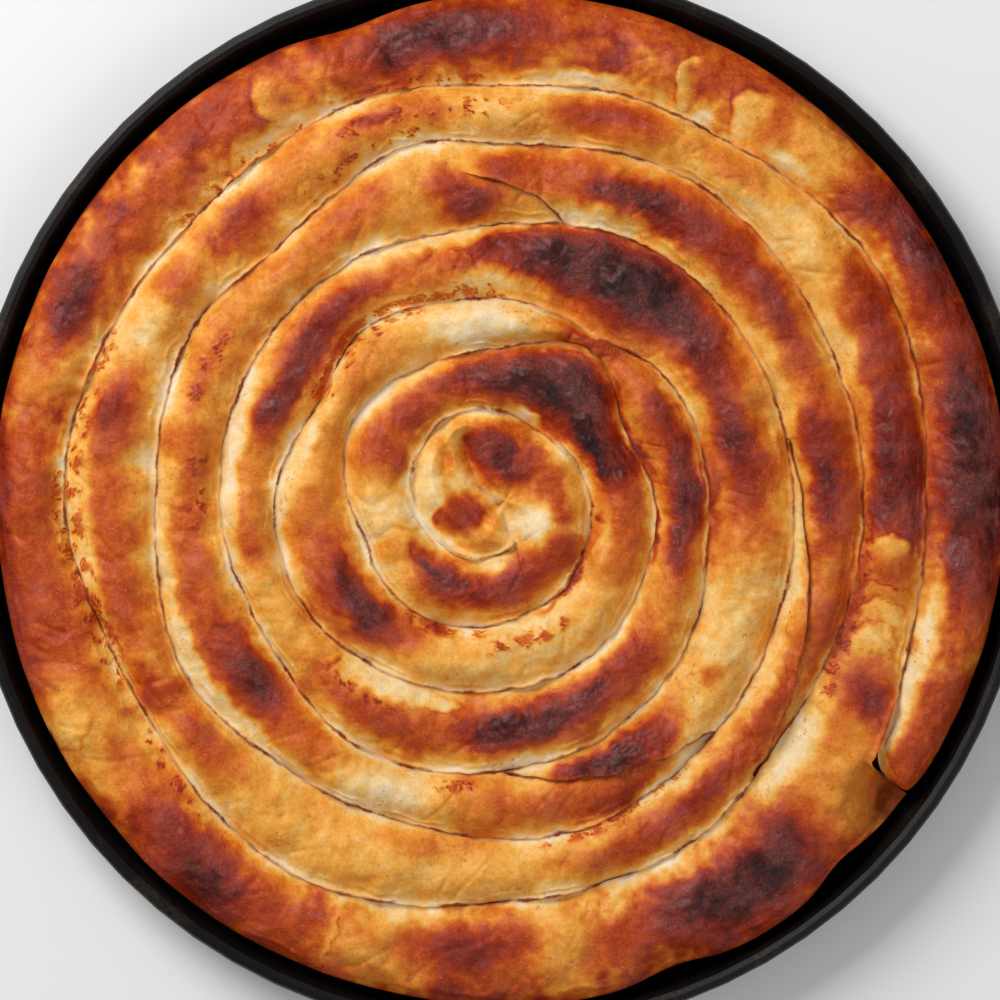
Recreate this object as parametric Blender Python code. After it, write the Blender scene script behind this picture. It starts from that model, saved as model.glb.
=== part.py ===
"""A coiled filo pie in its round baking tray.

Filled filo ropes are laid end to end in one flat spiral, from a blunt tail at the tray's wall
in to a knot at the eye. The frame's origin is the middle of the tray's underside, +Z is up, and
the pie's picture side is up with +Y away from the viewer. Sizes below are millimetres and
degrees, and each mesh is scaled to metres as it is made. Places along the coil are running
angles: 324 at the tail, growing anticlockwise and inward, 360 a turn.
"""

import math

import bmesh
import bpy

MM = 0.001

# Driving sizes of the pie.
PIE_RADIUS = 162.3
EYE_X = 1.6
GAP = 0.3
CROWN = 25.0
CREASE = 17.6
SIDE_LOW = 5.0
FOOT = 4.5
DOME_POWER = 2.3
STEP = 6

# The tail's start, the angle where the first turn has passed it, and the knot's start.
TAIL = 324
TAIL_PASSED = 684
KNOT = 2442

# Radius of the crease inside each turn, every 30 degrees, a row for each turn from angle 330.
SEAM_START = 330
SEAM_STEP = 30
SEAM_TURNS = (
    (138.5, 134.4, 139.8, 134.4, 131.8, 135.0, 136.3, 141.1, 133.8, 137.3, 128.6, 124.2),
    (115.5, 114.6, 114.9, 118.1, 113.0, 111.4, 114.2, 111.7, 116.5, 110.1, 108.5, 103.0),
    (96.0, 92.2, 92.2, 92.8, 88.6, 90.6, 91.8, 91.2, 88.0, 91.5, 86.4, 80.0),
    (72.0, 65.6, 64.6, 59.5, 64.6, 69.1, 66.6, 73.6, 72.3, 65.9, 60.8, 56.6),
    (50.6, 48.0, 44.2, 54.7, 49.0, 49.6, 54.7, 50.6, 47.4, 44.8, 39.0, 33.9),
    (29.4, 27.2, 25.0, 24.3, 27.8, 31.7, 31.4, 29.1, 24.6, 21.1, 16.0, 12.2),
)

# Short kinks in that crease: running angle and how far the crease steps out.
KINKS = (
    (322, 5.0), (435, 2.2), (465, 2.2), (495, -1.9), (555, -1.4), (676, -2.0), (825, 5.6),
    (855, -4.0), (945, -1.9), (975, -1.8), (1005, 1.4), (1185, -1.6), (1425, -1.9), (1485, 1.6),
    (1545, -1.6), (1575, 2.9), (1995, -2.6),
)
KINK_REACH = 11.0

# The free edge against the tray: how far it swells and how often in a turn, and the dents where
# it stands back from the wall, each with its angle, half length in degrees and depth.
EDGE_SWELLS = ((0.35, 5, 1.0), (0.2, 11, 0.0))
EDGE_DENTS = ((468, 7.0, 3.2), (650, 5.0, 2.8), (673, 4.5, 3.2))

# The tail's blunt end: how far its inner corner is rounded off.
TAIL_ROUNDING = 4.0

# Slanted joins, where one rope's end lies beside the next one's start under one crown. Each has
# the rope on its inner and its outer side, the one that stands over the other, its first running
# angle, and the inner rope's share of the width at every step from there.
SLANTS = (
    {"inner": "rope_second", "outer": "rope_third", "over": "rope_second", "first": 1032,
     "inner_share": (0.93, 0.88, 0.78, 0.62, 0.48, 0.36, 0.24, 0.16, 0.11, 0.07, 0.05)},
    {"inner": "rope_fourth", "outer": "rope_third", "over": "rope_third", "first": 1158,
     "inner_share": (0.06, 0.34, 0.49, 0.60, 0.75, 0.90)},
    {"inner": "rope_fifth", "outer": "rope_fourth", "over": "rope_fifth", "first": 1350,
     "inner_share": (0.12, 0.20, 0.29, 0.40, 0.54, 0.68, 0.80, 0.92)},
)
SLANT_RISE = 0.7
SLANT_SINK = 1.6
SLANT_REACH = 4.0

# The ropes from the tray's wall to the eye, with their first and last running angle.
ROPES = (
    ("rope_outer", TAIL, 702),
    ("rope_second", 702, 1092),
    ("rope_third", 1032, 1188),
    ("rope_fourth", 1158, 1392),
    ("rope_fifth", 1350, 1860),
    ("rope_centre", 1860, KNOT),
)

# Long swells of the crown and of the crease: height, length along the coil and phase.
CROWN_SWELLS = ((0.7, 8.7, 2.1), (0.6, 5.3, 0.6))
CREASE_SWELLS = ((0.8, 10.9, 0.0), (0.5, 6.1, 1.4))
COIL_START_RADIUS = 150.0
COIL_PITCH = 22.0

# Dips in the crown where ropes meet end to end: running angle, half length in degrees, depth.
DIPS = ((702, 8.0, 3.0), (1860, 12.0, 3.0), (TAIL, 5.0, 2.0))

# How far across a rope the points of its top lie, 0 at the inner crease and 1 at the outer.
ACROSS = (0.0, 0.06, 0.18, 0.34, 0.5, 0.66, 0.82, 0.94, 1.0)

# Rounding of the ends: how far the end section is drawn in and lowered, and the one beside it.
TAIL_END = (2.6, 3.0)
TAIL_NEXT = (0.6, 1.0)
TAIL_NEXT_AWAY = 1.0
BUTT_END = (0.1, 0.8)

# The knot at the eye: its rings as parts of its radius, and the crease across it.
KNOT_RINGS = (0.16, 0.34, 0.52, 0.7, 0.84, 0.94, 1.0)
KNOT_CREASE = (
    (-10.0, -19.0), (-2.0, -16.5), (4.5, -14.0), (1.6, -10.0), (0.9, -5.8),
    (-3.2, -3.2), (-8.6, 3.2), (-12.8, 9.3), (-15.7, 15.7),
)
KNOT_CREASE_DEPTH = 5.0
KNOT_CREASE_REACH = 2.6
KNOT_EDGE_POWER = 5
KNOT_TOP_DROP = 0.6
KNOT_RIM_FALL = 1.0
KNOT_FOOT = 3.0

# The last rope's end inside the knot: its length in degrees, how deep it starts inside the
# knot's skin, and how far it narrows and sinks to its end.
KNOT_RUN_ON = 36
RUN_ON_INSET = 1.2
RUN_ON_OUTER = 3.0
RUN_ON_INNER = 6.0
RUN_ON_DROP = 1.0
RUN_ON_SINK = 2.5
RUN_ON_RIM_DROP = 0.6
RUN_ON_LIFT = 1.5

# The tray: a dark sheet tin with a flared wall and a rolled rim.
FLOOR = 1.0
WALL = 1.0
TRAY_CORNER = 6.0
TRAY_FOOT_RADIUS = 158.5
TRAY_TOP_RADIUS = 166.2
TRAY_HEIGHT = 22.0
RIM_ROLL = 2.2
RIM_TURNS = (250, 310, 0, 50, 100, 150)
CORNER_STEPS = 3
TRAY_SIDES = 72

CREASE_ANGLE = 50
PASTRY_COLOUR = (0.48, 0.17, 0.045, 1.0)
PASTRY_ROUGHNESS = 0.5
TRAY_COLOUR = (0.02, 0.02, 0.022, 1.0)
TRAY_ROUGHNESS = 0.45
TRAY_METALLIC = 0.8


def seam_knot(index):
    """One read radius of the crease, with the ends held."""
    per_turn = len(SEAM_TURNS[0])
    index = max(0, min(index, per_turn * len(SEAM_TURNS) - 1))
    return SEAM_TURNS[index // per_turn][index % per_turn]


def seam(angle):
    """Radius of the crease at a running angle: a smooth curve through its knots, with kinks."""
    place = (angle - SEAM_START) / SEAM_STEP
    index = math.floor(place)
    u = place - index
    a, b, c, d = (seam_knot(index + k) for k in (-1, 0, 1, 2))
    radius = 0.5 * (2 * b + (c - a) * u + (2 * a - 5 * b + 4 * c - d) * u ** 2
                    + (3 * b - a - 3 * c + d) * u ** 3)
    for middle, height in KINKS:
        radius += height * math.exp(-((angle - middle) / KINK_REACH) ** 2)
    return radius


def free_edge(angle):
    """The pie's outer edge against the tray, which turns in where the tail starts outside it."""
    if angle >= TAIL_PASSED:
        return seam(TAIL)
    turn = math.radians(angle)
    radius = PIE_RADIUS - sum(height for height, _, _ in EDGE_SWELLS)
    for height, per_turn, phase in EDGE_SWELLS:
        radius += height * math.sin(per_turn * turn + phase)
    for middle, reach, depth in EDGE_DENTS:
        radius -= depth * math.exp(-((angle - middle) / reach) ** 2)
    return math.sqrt(radius ** 2 - (EYE_X * math.sin(turn)) ** 2) - EYE_X * math.cos(turn)


def rope_share(name, angle):
    """The part of the width that a rope has at an angle, and the slanted join there if any."""
    for slant in SLANTS:
        shares = slant["inner_share"]
        place = (angle - slant["first"]) / STEP
        if name in (slant["inner"], slant["outer"]) and 0 <= place <= len(shares) - 1:
            index = min(int(place), len(shares) - 2)
            part = place - index
            share = shares[index] * (1 - part) + shares[index + 1] * part
            return ((0.0, share) if name == slant["inner"] else (share, 1.0)), slant
    return (0.0, 1.0), None


def run_length(angle):
    """Length along the coil from the tail, as if it were an even spiral."""
    turned = math.radians(angle - TAIL)
    return COIL_START_RADIUS * turned - COIL_PITCH * turned ** 2 / (4 * math.pi)


def crown_height(angle):
    """Height of a rope's crown, with long swells and the dips where ropes meet."""
    along = run_length(angle)
    height = CROWN
    for rise, length, phase in CROWN_SWELLS:
        height += rise * math.sin(along / length + phase)
    for middle, reach, depth in DIPS:
        height -= depth * math.exp(-((angle - middle) / reach) ** 2)
    return height


def crease_height(angle):
    """Height of the crease line at a running angle."""
    along = run_length(angle)
    height = CREASE
    for rise, length, phase in CREASE_SWELLS:
        height += rise * math.sin(along / length + phase)
    return height


def rope_section(name, angle, shrink=0.0, lower=0.0):
    """Closed outline of a rope at one angle as (radius, height): top, then sides and foot.

    Two ropes at a slanted join lie under one crown, and each takes its share of the width.
    """
    crease = seam(angle)
    if angle < TAIL + STEP:
        crease += TAIL_ROUNDING * (1 - (angle - TAIL) / STEP) ** 2
    full = (free_edge(angle) if angle < TAIL + 360 else seam(angle - 360)) - crease
    (low, high), slant = rope_share(name, angle)
    inner = crease + low * full + GAP / 2 + shrink
    outer = crease + high * full - GAP / 2 - shrink
    width = outer - inner
    crown = crown_height(angle) - lower
    inner_rim = crease_height(angle) - lower
    outer_rim = crease_height(angle - 360) - lower
    points = []
    for t in ACROSS:
        radius = inner + width * t
        place = (radius - crease) / full
        side = inner_rim if place < 0.5 else outer_rim
        height = crown - (crown - side) * min(1.0, abs(2 * place - 1)) ** DOME_POWER
        if slant:
            away = (outer - radius) if name == slant["inner"] else (radius - inner)
            step = SLANT_RISE if name == slant["over"] else -SLANT_SINK
            height += step * math.exp(-away / SLANT_REACH)
        points.append((radius, height))
    foot = min(FOOT, 0.25 * width)
    base = FLOOR + GAP
    points += [(outer, SIDE_LOW), (outer - foot, base), (inner + foot, base), (inner, SIDE_LOW)]
    return points


def place_ring(bm, points, angle):
    """Stand a section's points in the plane through the eye at its angle."""
    turn = math.radians(angle)
    ring = []
    for radius, height in points:
        spot = (EYE_X + radius * math.cos(turn), radius * math.sin(turn), height)
        ring.append(bm.verts.new([value * MM for value in spot]))
    return ring


def bridge_rings(bm, rings, closed_ends=True):
    """Skin neighbouring rings with quads, and cap the first and last."""
    count = len(rings[0])
    for near, far in zip(rings, rings[1:]):
        for k in range(count):
            n = (k + 1) % count
            bm.faces.new((near[k], near[n], far[n], far[k]))
    if closed_ends:
        bm.faces.new(rings[0][::-1])
        bm.faces.new(rings[-1])


def finish_mesh(bm, name, material):
    """Triangulate, face everything outward and make the object."""
    bmesh.ops.triangulate(bm, faces=bm.faces[:])
    bmesh.ops.recalc_face_normals(bm, faces=bm.faces[:])
    mesh = bpy.data.meshes.new(name)
    bm.to_mesh(mesh)
    bm.free()
    mesh.materials.append(material)
    mesh.shade_smooth()
    mesh.set_sharp_from_angle(angle=math.radians(CREASE_ANGLE))
    thing = bpy.data.objects.new(name, mesh)
    bpy.context.scene.collection.objects.link(thing)
    return thing


def make_material(name, colour, roughness, metallic=0.0):
    """A plain Principled material."""
    material = bpy.data.materials.new(name)
    material.use_nodes = True
    shader = material.node_tree.nodes["Principled BSDF"]
    shader.inputs["Base Color"].default_value = colour
    shader.inputs["Roughness"].default_value = roughness
    shader.inputs["Metallic"].default_value = metallic
    material.diffuse_color = colour
    return material


def make_rope(name, first, last, material):
    """Sweep one rope from its first to its last running angle, with rounded ends."""
    bm = bmesh.new()
    if first == TAIL:
        next_angle = first + math.degrees(TAIL_NEXT_AWAY / seam(first))
        rings = [place_ring(bm, rope_section(name, first, *TAIL_END), first),
                 place_ring(bm, rope_section(name, next_angle, *TAIL_NEXT), next_angle)]
    else:
        start = first + math.degrees(GAP / 2 / seam(first))
        rings = [place_ring(bm, rope_section(name, start, *BUTT_END), start)]
    for angle in range(first + STEP, last, STEP):
        rings.append(place_ring(bm, rope_section(name, angle), angle))
    if last == KNOT:
        for angle in range(KNOT, KNOT + KNOT_RUN_ON + 1, STEP):
            rings.append(place_ring(bm, knot_entry_section(name, angle), angle))
    else:
        stop = last - math.degrees(GAP / 2 / seam(last))
        rings.append(place_ring(bm, rope_section(name, stop, *BUTT_END), stop))
    bridge_rings(bm, rings)
    return finish_mesh(bm, name, material)


def knot_entry_section(name, angle):
    """The last rope's outline where it runs on into the knot, drawn in from the knot's skin."""
    if angle == KNOT:
        return rope_section(name, angle)
    run_on = (angle - KNOT) / KNOT_RUN_ON
    outer = seam(angle - 360) - RUN_ON_INSET - RUN_ON_OUTER * run_on
    inner = seam(KNOT) + RUN_ON_INSET - RUN_ON_INNER * run_on
    crown = crown_height(angle) - RUN_ON_DROP - RUN_ON_SINK * run_on
    rim = CREASE - RUN_ON_RIM_DROP
    points = []
    for t in ACROSS:
        points.append((inner + (outer - inner) * t,
                       crown - (crown - rim) * abs(2 * t - 1) ** DOME_POWER))
    base = FLOOR + GAP + RUN_ON_LIFT
    side = SIDE_LOW + RUN_ON_LIFT
    points += [(outer, side), (outer - KNOT_FOOT, base), (inner + KNOT_FOOT, base), (inner, side)]
    return points


def crease_distance(x, y):
    """Distance from a point to the crease across the knot."""
    nearest = math.inf
    for (x0, y0), (x1, y1) in zip(KNOT_CREASE, KNOT_CREASE[1:]):
        dx, dy = x1 - x0, y1 - y0
        u = ((x - x0) * dx + (y - y0) * dy) / (dx * dx + dy * dy)
        u = max(0.0, min(1.0, u))
        nearest = min(nearest, math.hypot(x - x0 - u * dx, y - y0 - u * dy))
    return nearest


def knot_height(x, y, part, edge):
    """Top of the knot: a low dome to its outer crease, with the crease pressed across it."""
    top = CROWN - KNOT_TOP_DROP
    dome = top - (top - edge) * part ** KNOT_EDGE_POWER
    press = KNOT_CREASE_DEPTH * math.exp(-(crease_distance(x, y) / KNOT_CREASE_REACH) ** 2)
    return max(edge - KNOT_RIM_FALL, dome - press)


def make_knot(material):
    """The rope's last turn at the eye, pressed into one lump inside the last crease."""
    bm = bmesh.new()
    angles = list(range(KNOT - 360 + STEP, KNOT + 1, STEP))
    rings = []
    for part in KNOT_RINGS:
        ring = []
        for angle in angles:
            turn = math.radians(angle)
            radius = (seam(angle) - GAP / 2) * part
            x, y = radius * math.cos(turn), radius * math.sin(turn)
            spot = (EYE_X + x, y, knot_height(x, y, part, crease_height(angle)))
            ring.append(bm.verts.new([value * MM for value in spot]))
        rings.append(ring)
    for height, inset in ((SIDE_LOW, 0.0), (FLOOR + GAP, KNOT_FOOT)):
        ring = []
        for angle in angles:
            turn = math.radians(angle)
            radius = seam(angle) - GAP / 2 - inset
            spot = (EYE_X + radius * math.cos(turn), radius * math.sin(turn), height)
            ring.append(bm.verts.new([value * MM for value in spot]))
        rings.append(ring)
    bridge_rings(bm, rings, closed_ends=False)
    middle = bm.verts.new([EYE_X * MM, 0.0, knot_height(0, 0, 0, CREASE) * MM])
    bottom = bm.verts.new([EYE_X * MM, 0.0, (FLOOR + GAP) * MM])
    count = len(angles)
    for k in range(count):
        n = (k + 1) % count
        bm.faces.new((rings[0][k], rings[0][n], middle))
        bm.faces.new((rings[-1][n], rings[-1][k], bottom))
    return finish_mesh(bm, "knot", material)


def join_knot(rope, knot):
    """Fuse the knot to the rope that runs into it."""
    union = rope.modifiers.new("knot", "BOOLEAN")
    union.operation = "UNION"
    union.object = knot
    evaluated = rope.evaluated_get(bpy.context.evaluated_depsgraph_get())
    fused = bpy.data.meshes.new_from_object(evaluated)
    rope.modifiers.clear()
    rope.data = fused
    bpy.data.objects.remove(knot)


def tray_profile():
    """The tin's half section as (radius, height), from the middle below round to the middle."""
    foot = TRAY_FOOT_RADIUS
    outside = TRAY_CORNER + WALL
    points = [(0.0, 0.0), (foot, 0.0)]
    for step in range(1, CORNER_STEPS + 1):
        turn = math.radians(90 * step / CORNER_STEPS)
        points.append((foot + outside * math.sin(turn),
                       TRAY_CORNER + FLOOR - outside * math.cos(turn)))
    middle = (TRAY_TOP_RADIUS + RIM_ROLL, TRAY_HEIGHT - RIM_ROLL)
    for degrees in RIM_TURNS:
        turn = math.radians(degrees)
        points.append((middle[0] + RIM_ROLL * math.cos(turn),
                       middle[1] + RIM_ROLL * math.sin(turn)))
    for step in range(CORNER_STEPS, -1, -1):
        turn = math.radians(90 * step / CORNER_STEPS)
        points.append((foot + TRAY_CORNER * math.sin(turn),
                       TRAY_CORNER + FLOOR - TRAY_CORNER * math.cos(turn)))
    points.append((0.0, FLOOR))
    return points


def make_tray(material):
    """Spin the tin's half section round the middle."""
    bm = bmesh.new()
    verts = [bm.verts.new((radius * MM, 0.0, height * MM)) for radius, height in tray_profile()]
    edges = [bm.edges.new(pair) for pair in zip(verts, verts[1:])]
    bmesh.ops.spin(bm, geom=verts + edges, cent=(0, 0, 0), axis=(0, 0, 1),
                   angle=2 * math.pi, steps=TRAY_SIDES, use_merge=True)
    bmesh.ops.remove_doubles(bm, verts=bm.verts[:], dist=1e-6)
    return finish_mesh(bm, "tray", material)


for old in list(bpy.data.objects):
    bpy.data.objects.remove(old)

pastry = make_material("baked_filo", PASTRY_COLOUR, PASTRY_ROUGHNESS)
tin = make_material("dark_tin", TRAY_COLOUR, TRAY_ROUGHNESS, TRAY_METALLIC)
make_tray(tin)
for rope_name, first_angle, last_angle in ROPES:
    rope_object = make_rope(rope_name, first_angle, last_angle, pastry)
join_knot(rope_object, make_knot(pastry))
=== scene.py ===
import math

import bmesh
import bpy
import numpy as np
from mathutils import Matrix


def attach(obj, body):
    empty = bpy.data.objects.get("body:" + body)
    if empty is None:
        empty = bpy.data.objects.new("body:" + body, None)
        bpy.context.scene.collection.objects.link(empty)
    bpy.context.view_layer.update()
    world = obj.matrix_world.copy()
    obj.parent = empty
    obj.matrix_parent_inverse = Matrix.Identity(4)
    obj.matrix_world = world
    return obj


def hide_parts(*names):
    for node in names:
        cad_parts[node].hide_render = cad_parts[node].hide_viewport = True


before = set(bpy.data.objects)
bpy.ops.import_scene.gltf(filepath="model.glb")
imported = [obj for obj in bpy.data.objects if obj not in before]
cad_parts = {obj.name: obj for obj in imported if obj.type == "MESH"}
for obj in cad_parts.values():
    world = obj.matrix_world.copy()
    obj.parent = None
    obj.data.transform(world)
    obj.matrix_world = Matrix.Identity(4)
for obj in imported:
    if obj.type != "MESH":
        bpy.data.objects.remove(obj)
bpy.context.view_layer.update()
MM = 0.001


# The tray: a round sheet tin, blackened by years of baking, with a rolled rim. It keeps its own
# solid and takes a worn, oily dark finish.
def shade(red, green, blue):
    """A colour as the eye reads it, 0 to 255, turned into the renderer's linear scale."""
    return tuple((part / 255.0) ** 2.2 for part in (red, green, blue)) + (1.0,)


class Link:
    """One socket among a material's nodes, which + - and * treat as a number."""

    def __init__(self, tree, socket):
        self.tree = tree
        self.socket = socket

    def node(self, kind, settings=(), sockets=(), output=0):
        """Add a node, make its settings, feed its sockets and return one of its outputs."""
        made = self.tree.nodes.new(kind)
        for key, value in dict(settings).items():
            if key == "stops":
                ramp = made.color_ramp
                while len(ramp.elements) < len(value):
                    ramp.elements.new(1.0)
                for element, (place, colour) in zip(ramp.elements, value):
                    element.position = place
                    element.color = colour
            else:
                setattr(made, key, value)
        for key, value in dict(sockets).items():
            if isinstance(value, Link):
                self.tree.links.new(value.socket, made.inputs[key])
            else:
                made.inputs[key].default_value = value
        return Link(self.tree, made.outputs[output])

    def math(self, operation, first, second):
        """Add a maths node on two numbers or sockets."""
        return self.node("ShaderNodeMath", {"operation": operation}, {0: first, 1: second})

    def __add__(self, other):
        return self.math("ADD", self, other)

    __radd__ = __add__

    def __sub__(self, other):
        return self.math("SUBTRACT", self, other)

    def __rsub__(self, other):
        return self.math("SUBTRACT", other, self)

    def __mul__(self, other):
        return self.math("MULTIPLY", self, other)

    __rmul__ = __mul__

    def between(self, low, high):
        """0 at low, 1 at high and smooth in between; low may be the greater."""
        return self.node("ShaderNodeMapRange", {"interpolation_type": "SMOOTHSTEP"},
                         {0: self, 1: low, 2: high, 3: 0.0, 4: 1.0})

    def tinted(self, colour, amount):
        """This colour, mixed with another by an amount."""
        return self.node("ShaderNodeMix", {"data_type": "RGBA"},
                         {0: amount, 6: self, 7: colour}, output=2)

    def noise(self, scale, detail, rough=0.5):
        """Soft noise at this place, with so many lumps to the metre."""
        return self.node("ShaderNodeTexNoise", {},
                         {"Vector": self, "Scale": scale, "Detail": detail, "Roughness": rough})

    def feed(self, socket):
        """Lead this value into a shader's socket."""
        self.tree.links.new(self.socket, socket)


def new_finish(name):
    """A new material, its Principled shader, and a link to start expressions from."""
    finish = bpy.data.materials.new(name)
    finish.use_nodes = True
    tree = finish.node_tree
    shader = tree.nodes["Principled BSDF"]
    place = Link(tree, tree.nodes.new("ShaderNodeTexCoord").outputs["Object"])
    return finish, shader, place


TIN_BLACK = shade(24, 22, 22)
TIN_WORN = shade(70, 58, 50)

tin, tin_shader, tin_place = new_finish("blackened_tin")
smears = tin_place.noise(45.0, 5.0)
specks = tin_place.noise(900.0, 3.0)
worn = (smears + specks * 0.5).between(0.78, 1.05)
tin_colour = tin_place.node("ShaderNodeMix", {"data_type": "RGBA"},
                            {0: worn * 0.6, 6: TIN_BLACK, 7: TIN_WORN}, output=2)
tin_colour.feed(tin_shader.inputs["Base Color"])
(0.42 + smears * 0.25).feed(tin_shader.inputs["Roughness"])
tin_shader.inputs["Metallic"].default_value = 0.6
tin_bump = tin_place.node("ShaderNodeBump", {},
                          {"Height": specks, "Strength": 0.25, "Distance": 0.0004})
tin_bump.feed(tin_shader.inputs["Normal"])

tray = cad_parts["tray"]
tray.data.materials.clear()
tray.data.materials.append(tin)


# The coil: every rope lies on one flat spiral, pressed against the turn outside it. These are the
# spiral's real sizes, in millimetres and running degrees from the tail, 360 a turn, inward.
PIE_RADIUS = 162.3
EYE_X = 1.6
GAP = 0.3
CROWN = 25.0
CREASE = 17.6
SIDE_LOW = 5.0
FOOT = 4.5
FLOOR = 1.0
DOME_POWER = 2.3
HALF_ROPE = 11.5
TAIL = 324
EDGE_TURNS_IN = (684.0, 685.5)
CROWN_TURNS_IN = (666.0, 700.0)
TAIL_RADIUS = 150.0
TAIL_BLUNT = 8.0
UNDER_TAIL = 1.5
FIRST_JOIN = 702
LAST_JOIN = 1860
KNOT = 2442
SEAM_START = 330
SEAM_STEP = 30
SEAM_TURNS = (
    (138.5, 134.4, 139.8, 134.4, 131.8, 135.0, 136.3, 141.1, 133.8, 137.3, 128.6, 124.2),
    (115.5, 114.6, 114.9, 118.1, 113.0, 111.4, 114.2, 111.7, 116.5, 110.1, 108.5, 103.0),
    (96.0, 92.2, 92.2, 92.8, 88.6, 90.6, 91.8, 91.2, 88.0, 91.5, 86.4, 80.0),
    (72.0, 65.6, 64.6, 59.5, 64.6, 69.1, 66.6, 73.6, 72.3, 65.9, 60.8, 56.6),
    (50.6, 48.0, 44.2, 54.7, 49.0, 49.6, 54.7, 50.6, 47.4, 44.8, 39.0, 33.9),
    (29.4, 27.2, 25.0, 24.3, 27.8, 31.7, 31.4, 29.1, 24.6, 21.1, 16.0, 12.2),
)
KINKS = (
    (322, 5.0), (435, 2.2), (465, 2.2), (495, -1.9), (555, -1.4), (676, -2.0), (825, 5.6),
    (855, -4.0), (945, -1.9), (975, -1.8), (1005, 1.4), (1185, -1.6), (1425, -1.9), (1485, 1.6),
    (1545, -1.6), (1575, 2.9), (1995, -2.6),
)
KINK_REACH = 11.0
EDGE_SWELLS = ((0.35, 5, 1.0), (0.2, 11, 0.0))
EDGE_DENTS = ((468, 7.0, 3.2), (650, 5.0, 2.8), (673, 4.5, 3.2))
CROWN_SWELLS = ((0.7, 8.7, 2.1), (0.6, 5.3, 0.6))
CREASE_SWELLS = ((0.8, 10.9, 0.0), (0.5, 6.1, 1.4))
COIL_START_RADIUS = 150.0
COIL_PITCH = 22.0
DIPS = ((FIRST_JOIN, 8.0, 3.0), (LAST_JOIN, 12.0, 3.0), (TAIL, 5.0, 2.0))
RIMS_MEET = (0.35, 0.65)

# What the soft filo adds to the coil. A field of lumps has its height, its size and its seed, and
# a filling has its height and the running angles between which it grows.
SEAM_WAVERS = ((0.5, 10.0, 11), (0.3, 4.0, 12))
CREASE_LUMPS = ((1.4, 18.0, 13),)
STEP_LUMPS = ((1.2, 19.0, 14),)
FILL = 0.9
FILL_VARIES = 2.4
FILL_LENGTH = 21.0
FILL_SEED = 15
FILL_REACH = 1.1
FILLS_NEAR_KNOT = ((0.8, 2230, 2260), (0.6, 2330, 2380))
SHUT_FILL = 2.0
SHUT_BEGINS = (2338, 2362)
SHUT_ENDS = (2412, 2396)
SHUT_FADE = 3.0


def lumps(x, y, size, seed):
    """A smooth random field from -1 to 1, whose lumps are about one size across."""
    turns = np.random.default_rng(seed).uniform(0.0, 2 * np.pi, (256, 256))
    x, y = np.broadcast_arrays(x / size, y / size)
    left, low = np.floor(x).astype(int), np.floor(y).astype(int)
    across, up = x - left, y - low

    def corner(i, j):
        turn = turns[(left + i) & 255, (low + j) & 255]
        return np.cos(turn) * (across - i) + np.sin(turn) * (up - j)

    ease_x = across ** 3 * (across * (across * 6 - 15) + 10)
    ease_y = up ** 3 * (up * (up * 6 - 15) + 10)
    bottom = corner(0, 0) * (1 - ease_x) + corner(1, 0) * ease_x
    top = corner(0, 1) * (1 - ease_x) + corner(1, 1) * ease_x
    return 1.5 * (bottom * (1 - ease_y) + top * ease_y)


def rough(x, y, layers):
    """The sum of some fields of lumps."""
    return sum(height * lumps(x, y, size, seed) for height, size, seed in layers)


def smooth(low, high, value):
    """0 at low, 1 at high and smooth in between; low may be the greater."""
    part = np.clip((value - low) / (high - low), 0.0, 1.0)
    return part * part * (3 - 2 * part)


def seam(angle):
    """Radius of the crease inside the rope at a running angle."""
    angle = np.asarray(angle, float)
    knots = np.array([radius for turn in SEAM_TURNS for radius in turn])
    place = (angle - SEAM_START) / SEAM_STEP
    index = np.floor(place).astype(int)
    u = place - index
    a, b, c, d = (knots[np.clip(index + k, 0, len(knots) - 1)] for k in (-1, 0, 1, 2))
    radius = 0.5 * (2 * b + (c - a) * u + (2 * a - 5 * b + 4 * c - d) * u ** 2
                    + (3 * b - a - 3 * c + d) * u ** 3)
    for middle, height in KINKS:
        radius = radius + height * np.exp(-((angle - middle) / KINK_REACH) ** 2)
    return radius


def run_length(angle):
    """Length along the coil from the tail, as if it were an even spiral."""
    turned = np.radians(angle - TAIL)
    return COIL_START_RADIUS * turned - COIL_PITCH * turned ** 2 / (4 * np.pi)


def crease_line(angle):
    """Radius of the crease as it shows, wavering from the softness of the filo."""
    return seam(angle) + rough(run_length(angle), 0.0, SEAM_WAVERS)


def tail_rounding(angle):
    """How rounded off the tail's end is: 1 at its very end and 0 past its blunt part."""
    run = np.radians(angle - TAIL) * TAIL_RADIUS
    return 1 - np.sqrt(1 - (1 - np.clip(run / TAIL_BLUNT, 0.0, 1.0)) ** 2)


def free_edge(angle, turns_in=EDGE_TURNS_IN):
    """The pie's outer edge against the tray, which turns in where the tail starts outside it."""
    turn = np.radians(angle)
    radius = PIE_RADIUS - sum(height for height, _, _ in EDGE_SWELLS)
    for height, per_turn, phase in EDGE_SWELLS:
        radius = radius + height * np.sin(per_turn * turn + phase)
    for middle, reach, depth in EDGE_DENTS:
        radius = radius - depth * np.exp(-((angle - middle) / reach) ** 2)
    edge = np.sqrt(radius ** 2 - (EYE_X * np.sin(turn)) ** 2) - EYE_X * np.cos(turn)
    passed = smooth(turns_in[0], turns_in[1], angle)
    beside = seam(np.maximum(angle - 360, TAIL)) + TAIL_BLUNT * tail_rounding(angle - 360)
    beside = beside + UNDER_TAIL * smooth(FIRST_JOIN, FIRST_JOIN - 10, angle)
    return edge + (beside - edge) * passed


def crown_height(angle):
    """Height of a rope's crown, with long swells and the dips where ropes meet."""
    along = run_length(angle)
    height = CROWN
    for rise, length, phase in CROWN_SWELLS:
        height = height + rise * np.sin(along / length + phase)
    for middle, reach, depth in DIPS:
        height = height - depth * np.exp(-((angle - middle) / reach) ** 2)
    return height


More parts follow.
